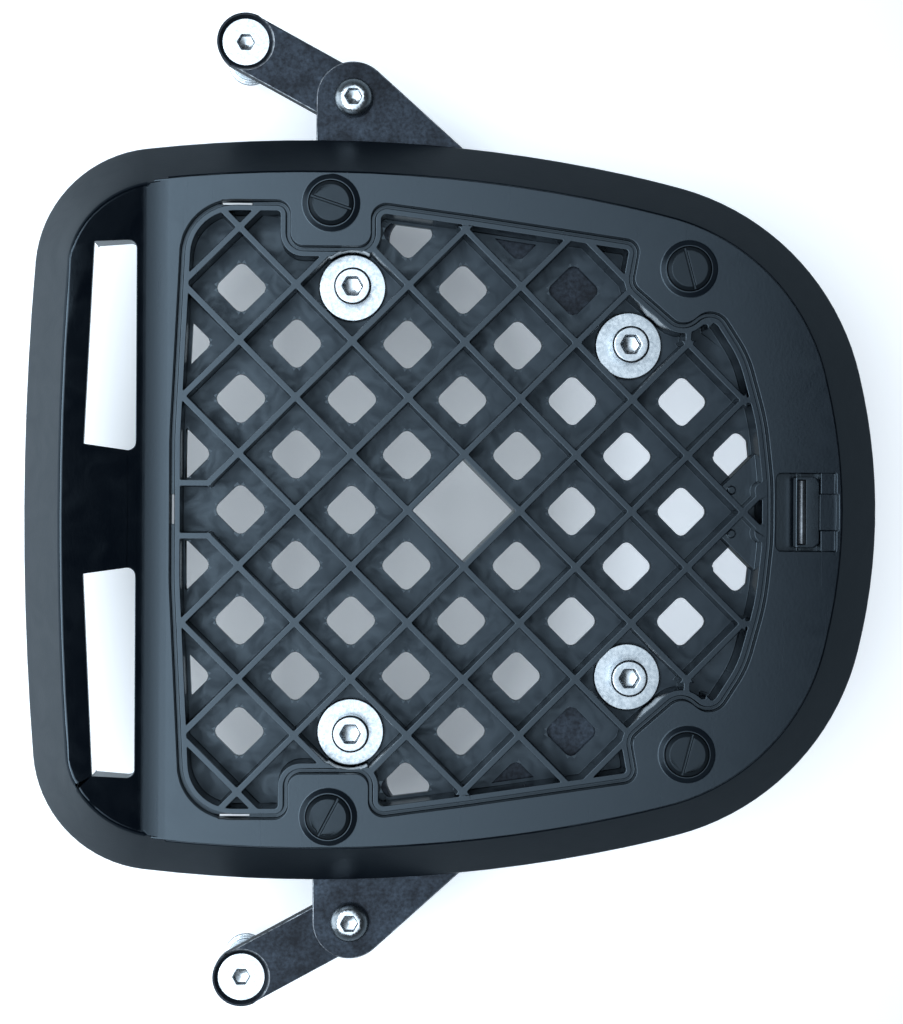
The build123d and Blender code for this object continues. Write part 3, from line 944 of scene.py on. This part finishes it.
@dataclass
class Fasteners:
    """Bolts, washers and nuts, zinc plated."""

    zinc: bpy.types.Material
    thread: Thread = Thread()
    thread_overlap_mm: float = 0.3
    end_band_mm: float = 0.01
    end_slack_mm: float = 0.1
    # Node, edge, socket mouth, floor and reach, and thread top.
    bolts: tuple[BoltForm, ...] = (
        BoltForm("plate_bolts", 0.3, 60.0, 56.0, 3.6, 41.0),
        BoltForm("pivot_bolts", 0.15, 51.4, 48.8, 3.0, 33.4),
        BoltForm("frame_bolts", 0.15, 40.8, 38.0, 3.0, 0.6),
    )
    plain: tuple[tuple[str, float], ...] = (
        ("plate_washers", 0.5),
        ("plate_nuts", 0.25),
        ("pivot_washers", 0.2),
        ("pivot_nuts", 0.25),
    )

    def axes(self, node: str) -> list[PlanPoint]:
        """Finds the bolts' axes from the middles of their lower ends.

        Args:
            node: The bolts' CAD node.

        Returns:
            X and Y of each axis in metres.
        """
        corners = [corner.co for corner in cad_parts[node].data.vertices]
        band = min(co.z for co in corners) + self.end_band_mm * MM
        width = (2 * self.thread.major_mm + self.end_slack_mm) * MM
        ends: list[list[Vector]] = []
        for co in corners:
            if co.z < band:
                near = [end for end in ends if (end[0].xy - co.xy).length < width]
                if near:
                    near[0].append(co)
                else:
                    ends.append([co])
        middles = []
        for end in ends:
            across, along = [co.x for co in end], [co.y for co in end]
            middles.append(((min(across) + max(across)) / 2, (min(along) + max(along)) / 2))
        return middles

    def build_bolts(self, form: BoltForm) -> None:
        """Models one group of bolts as one piece, with drilled sockets and threaded ends.

        Args:
            form: The group's form.
        """
        bolts = merged_copy(form.node, f"zinc_{form.node}", self.zinc)
        end_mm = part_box(form.node)[0][2] / MM
        axes = self.axes(form.node)
        deepen_sockets(bolts, form.socket_floor_mm, form.socket_cone_mm, form.socket_drop_mm)
        chamfer_mouths(bolts, form.socket_mouth_mm, form.socket_reach_mm, form.socket_chamfer_mm, axes)
        open_mesh(bolts, "VERT", "SELECT")
        cut_level(form.thread_top_mm, keeps_above=True)
        round_edges(bolts, form.edge_mm)
        rod = self.thread.rod(form.thread_top_mm + self.thread_overlap_mm, end_mm)
        join_copies(bolts, rod, axes)
        dress(bolts, stands_for=form.node)

    def build(self) -> None:
        """Models every group of fasteners."""
        for form in self.bolts:
            self.build_bolts(form)
        for node, edge_mm in self.plain:
            piece = merged_copy(node, f"zinc_{node}", self.zinc)
            round_edges(piece, edge_mm, segments=3)
            dress(piece, stands_for=node)


@dataclass
class SideFrame:
    """Bracket, link arm and spacer of one side."""

    side: Side
    steel: bpy.types.Material
    worn: bpy.types.Material
    zinc: bpy.types.Material
    edge_mm: float = 0.4
    bush_edge_mm: float = 0.3

    def build(self) -> None:
        """Models the side's steel parts, the flat ones with worn edges."""
        for node in ("side_bracket", "link_arm"):
            name = f"{node}_{self.side.value}"
            piece = merged_copy(name, f"steel_{name}", self.steel, self.worn)
            round_edges(piece, self.edge_mm, finish_index=1)
            dress(piece, stands_for=name)
        name = f"spacer_{self.side.value}"
        bush = merged_copy(name, f"turned_{name}", self.zinc)
        round_edges(bush, self.bush_edge_mm)
        dress(bush, stands_for=name)


@dataclass
class Studio:
    """Camera, lamps, pale floor and white surround.

    Radii are along X and along Y. Pairs of levels run from the open floor to the painted shadow under the rack,
    and from the horizon up.
    """

    camera_mm: Triple = (34.8, 0.2, 847.0)
    target_mm: Triple = (72.5, -0.5, 67.0)
    roll: float = 0.296
    lens: float = 79.7
    sensor: float = 36.0
    nearest_m: float = 0.01

    lamp_colour: Triple = (0.84, 0.93, 1.0)
    lamp_height_mm: float = 1450.0
    lamp_y_mm: Span = (-900.0, 700.0)
    # From X, to X and radiance of each strip of the lamp overhead.
    lamp_strips: tuple[Triple, ...] = (
        (-1000.0, -450.0, 8.0),
        (-450.0, -60.0, 4.8),
        (-60.0, 150.0, 3.0),
        (150.0, 330.0, 2.0),
        (330.0, 470.0, 1.5),
    )
    window_x_mm: float = -1300.0
    window_y_mm: Span = (-900.0, 700.0)
    window_z_mm: Span = (-200.0, 1200.0)
    window_radiance: float = 1.5

    floor_mm: float = -14.25
    floor_centre_mm: PlanPoint = (-60.0, 0.0)
    floor_radius_mm: Span = (430.0, 430.0)
    floor_sides: int = 96
    floor_fade: float = 0.4
    paper: str = "e8e8e8"
    # Painted dim reflection: glossy rays see the paper in this darker grey.
    paper_painted_dim_in_reflection: str = "a8acb0"
    # The camera sees the paper glow in a cool tint; under the rack the glow drops, a painted shadow.
    glow: Span = (0.65, 0.19)
    glow_colour: str = "e6f2ff"
    painted_shadow_centre_mm: PlanPoint = (40.0, 0.0)
    painted_shadow_radius_mm: Span = (110.0, 160.0)
    painted_shadow_core: float = 0.34
    # Painted pool of light: the paper glows for glossy rays only, strongest towards the front.
    painted_light_pool: float = 0.66
    painted_light_pool_colour: str = "dcf1ff"
    painted_light_pool_centre_mm: PlanPoint = (-330.0, 0.0)
    painted_light_pool_radius_mm: Span = (560.0, 560.0)

    surround: Span = (0.3, 0.02)
    surround_top: float = 0.65
    surround_colour: tuple[float, ...] = (0.7, 0.87, 1.0, 1.0)

    def build(self) -> None:
        """Sets up the whole studio."""
        self.set_camera()
        self.set_lamps()
        self.set_floor()
        self.set_surround()
        bpy.context.scene.view_settings.view_transform = "Standard"

    def set_camera(self) -> None:
        """Places the camera over the deck, with +Y up in the picture."""
        here, there = Vector(self.camera_mm) * MM, Vector(self.target_mm) * MM
        ahead = (there - here).normalized()
        right = ahead.cross(Vector((0.0, 1.0, 0.0))).normalized()
        right.rotate(Quaternion(ahead, -math.radians(self.roll)))
        up = right.cross(ahead)
        lens = bpy.data.cameras.new("camera")
        lens.lens = self.lens
        lens.sensor_width = self.sensor
        lens.clip_start = self.nearest_m
        camera = bpy.data.objects.new("camera", lens)
        turn = Matrix((right, up, -ahead)).transposed().to_4x4()
        camera.matrix_world = Matrix.Translation(here) @ turn
        bpy.context.scene.collection.objects.link(camera)
        bpy.context.scene.camera = camera

    def add_lamp(self, name: str, sides_mm: Span, middle_mm: Triple, radiance: float) -> bpy.types.Object:
        """Hangs one soft lamp that shines down.

        Args:
            name: The lamp's name.
            sides_mm: Its sides along X and Y.
            middle_mm: Its middle.
            radiance: How bright its face is.

        Returns:
            The lamp.
        """
        lamp = bpy.data.lights.new(name, "AREA")
        lamp.shape = "RECTANGLE"
        lamp.size, lamp.size_y = (side * MM for side in sides_mm)
        lamp.energy = radiance * math.pi * lamp.size * lamp.size_y
        lamp.color = self.lamp_colour
        hung = bpy.data.objects.new(name, lamp)
        hung.location = Vector(middle_mm) * MM
        bpy.context.scene.collection.objects.link(hung)
        return hung

    def set_lamps(self) -> None:
        """Hangs the large lamp in strips that fade to the rear, and stands the window lamp in front."""
        low_y, high_y = self.lamp_y_mm
        for number, (low, high, radiance) in enumerate(self.lamp_strips, 1):
            middle = ((low + high) / 2, (low_y + high_y) / 2, self.lamp_height_mm)
            self.add_lamp(f"soft lamp {number}", (high - low, high_y - low_y), middle, radiance)
        low_y, high_y = self.window_y_mm
        low_z, high_z = self.window_z_mm
        middle = (self.window_x_mm, (low_y + high_y) / 2, (low_z + high_z) / 2)
        window = self.add_lamp("window lamp", (high_z - low_z, high_y - low_y), middle, self.window_radiance)
        window.rotation_euler = (0.0, -math.pi / 2, 0.0)

    def nearness(self, tree: bpy.types.NodeTree, centre_mm: PlanPoint, radius_mm: Span) -> bpy.types.NodeSocket:
        """A floor pattern that falls from 1 at a centre to 0 at an ellipse round it.

        Args:
            tree: The floor material's nodes.
            centre_mm: X and Y of the centre.
            radius_mm: The ellipse's radii along X and Y.

        Returns:
            The pattern's output.
        """
        place = add_node(tree, "ShaderNodeTexCoord").outputs["Object"]
        across, along = (1.0 / (radius * MM) for radius in radius_mm)
        x, y, z = centre_mm[0] * MM, centre_mm[1] * MM, self.floor_mm * MM
        shifted = add_node(
            tree,
            "ShaderNodeMapping",
            {
                "Vector": place,
                "Location": (-x * across, -y * along, -z * across),
                "Scale": (across, along, across),
            },
        )
        return add_node(
            tree, "ShaderNodeTexGradient", {"Vector": shifted.outputs["Vector"]}, gradient_type="SPHERICAL"
        ).outputs["Fac"]

    def set_floor(self) -> None:
        """Lays the pale floor."""
        select_none()
        x, y = (place * MM for place in self.floor_centre_mm)
        bpy.ops.mesh.primitive_circle_add(
            vertices=self.floor_sides,
            radius=self.floor_radius_mm[0] * MM,
            fill_type="NGON",
            location=(x, y, self.floor_mm * MM),
        )
        floor = bpy.context.object
        floor.name = "pale_floor"
        bpy.ops.object.transform_apply(location=True, rotation=True, scale=True)
        floor.data.materials.append(self.backdrop_paper())

    def backdrop_paper(self) -> bpy.types.Material:
        """The floor's paper: matt white with the rack's shadow, and clear towards its rim and from below.

        Returns:
            The material, which glows a little for the camera and less under the rack as a painted shadow, and for
            glossy pieces is a darker paper, a painted dim reflection, with a painted pool of light towards the
            front.
        """
        paper = bpy.data.materials.new("white backdrop paper")
        paper.use_nodes = True
        tree = paper.node_tree
        tree.nodes.clear()
        rays = add_node(tree, "ShaderNodeLightPath").outputs
        # Glossy rays see a darker paper: a painted dim reflection.
        tone = add_node(
            tree,
            "ShaderNodeMix",
            {0: rays["Is Glossy Ray"], 6: linear(self.paper), 7: linear(self.paper_painted_dim_in_reflection)},
            data_type="RGBA",
        )
        matt = add_node(tree, "ShaderNodeBsdfDiffuse", {"Color": tone.outputs[2]})
        # Painted shadow: the camera's glow drops from the open floor to under the rack.
        open_glow, painted_shadow_glow = self.glow
        glow = add_node(
            tree,
            "ShaderNodeMapRange",
            {
                "Value": self.nearness(tree, self.painted_shadow_centre_mm, self.painted_shadow_radius_mm),
                "From Max": self.painted_shadow_core,
                "To Min": open_glow,
                "To Max": painted_shadow_glow,
            },
        )
        seen = add_node(
            tree, "ShaderNodeMath", {0: rays["Is Camera Ray"], 1: glow.outputs["Result"]}, operation="MULTIPLY"
        )
        white = add_node(
            tree, "ShaderNodeEmission", {"Color": linear(self.glow_colour), "Strength": seen.outputs[0]}
        )
        # A painted pool of light, which only glossy rays see.
        painted_light_pool = add_node(
            tree,
            "ShaderNodeMath",
            {0: self.nearness(tree, self.painted_light_pool_centre_mm, self.painted_light_pool_radius_mm), 1: self.painted_light_pool},
            operation="MULTIPLY",
        )
        mirrored = add_node(
            tree, "ShaderNodeMath", {0: rays["Is Glossy Ray"], 1: painted_light_pool.outputs[0]}, operation="MULTIPLY"
        )
        pool = add_node(
            tree, "ShaderNodeEmission", {"Color": linear(self.painted_light_pool_colour), "Strength": mirrored.outputs[0]}
        )
        glows = add_node(tree, "ShaderNodeAddShader", {0: white.outputs[0], 1: pool.outputs[0]})
        lit = add_node(tree, "ShaderNodeAddShader", {0: matt.outputs[0], 1: glows.outputs[0]})
        inside = add_node(
            tree,
            "ShaderNodeMapRange",
            {
                "Value": self.nearness(tree, self.floor_centre_mm, self.floor_radius_mm),
                "From Max": self.floor_fade,
            },
        )
        below = add_node(tree, "ShaderNodeNewGeometry").outputs["Backfacing"]
        shown = add_node(
            tree,
            "ShaderNodeMath",
            {0: inside.outputs["Result"], 1: below},
            operation="SUBTRACT",
            use_clamp=True,
        )
        clear = add_node(tree, "ShaderNodeBsdfTransparent")
        sheet = add_node(
            tree, "ShaderNodeMixShader", {0: shown.outputs[0], 1: clear.outputs[0], 2: lit.outputs[0]}
        )
        add_node(tree, "ShaderNodeOutputMaterial", {"Surface": sheet.outputs[0]})
        return paper

    def set_surround(self) -> None:
        """A dim room that is white where the camera sees it."""
        world = bpy.data.worlds.new("surround")
        bpy.context.scene.world = world
        world.use_nodes = True
        tree = world.node_tree
        tree.nodes.clear()
        rays = add_node(tree, "ShaderNodeLightPath").outputs
        aim = add_node(tree, "ShaderNodeTexCoord").outputs["Generated"]
        height = add_node(tree, "ShaderNodeSeparateXYZ", {0: aim}).outputs["Z"]
        horizon, zenith = self.surround
        level = add_node(
            tree,
            "ShaderNodeMapRange",
            {"Value": height, "From Max": self.surround_top, "To Min": horizon, "To Max": zenith},
        )
        room = add_node(
            tree,
            "ShaderNodeBackground",
            {"Color": self.surround_colour, "Strength": level.outputs["Result"]},
        )
        backdrop = add_node(tree, "ShaderNodeBackground", {"Strength": 1.0})
        seen = add_node(
            tree, "ShaderNodeMixShader", {0: rays["Is Camera Ray"], 1: room.outputs[0], 2: backdrop.outputs[0]}
        )
        add_node(tree, "ShaderNodeOutputWorld", {"Surface": seen.outputs[0]})


def main() -> None:
    """Builds the rack's pieces and the studio round them."""
    logging.basicConfig(level=logging.INFO, format="%(message)s")
    Moulding().build()
    DeckPlugs().build()
    Latch().build()
    # Bright zinc on turned and pressed steel: a pale, cool metal with a soft, slightly grainy shine.
    zinc = PlatedSteel("bright zinc on steel", "b3bac0", "9aa3ab", 0.27).material()
    Fasteners(zinc).build()
    # Cut from black-coated strip: a dark, blotchy metal that shines dully where it was rubbed.
    steel = CoatedSteel("black coated flat steel", "0d1219", "313b47", 0.42).material()
    # Along the cut edges the coat has worn through: a broken line of grey steel.
    worn = CoatedSteel("worn steel edge", "2c3138", "9aa1a8", 0.34, mottle_mm=1.6, scuff_mm=12.0).material()
    for side in Side:
        SideFrame(side, steel, worn, zinc).build()
    Studio().build()


if __name__ == "__main__":
    main()
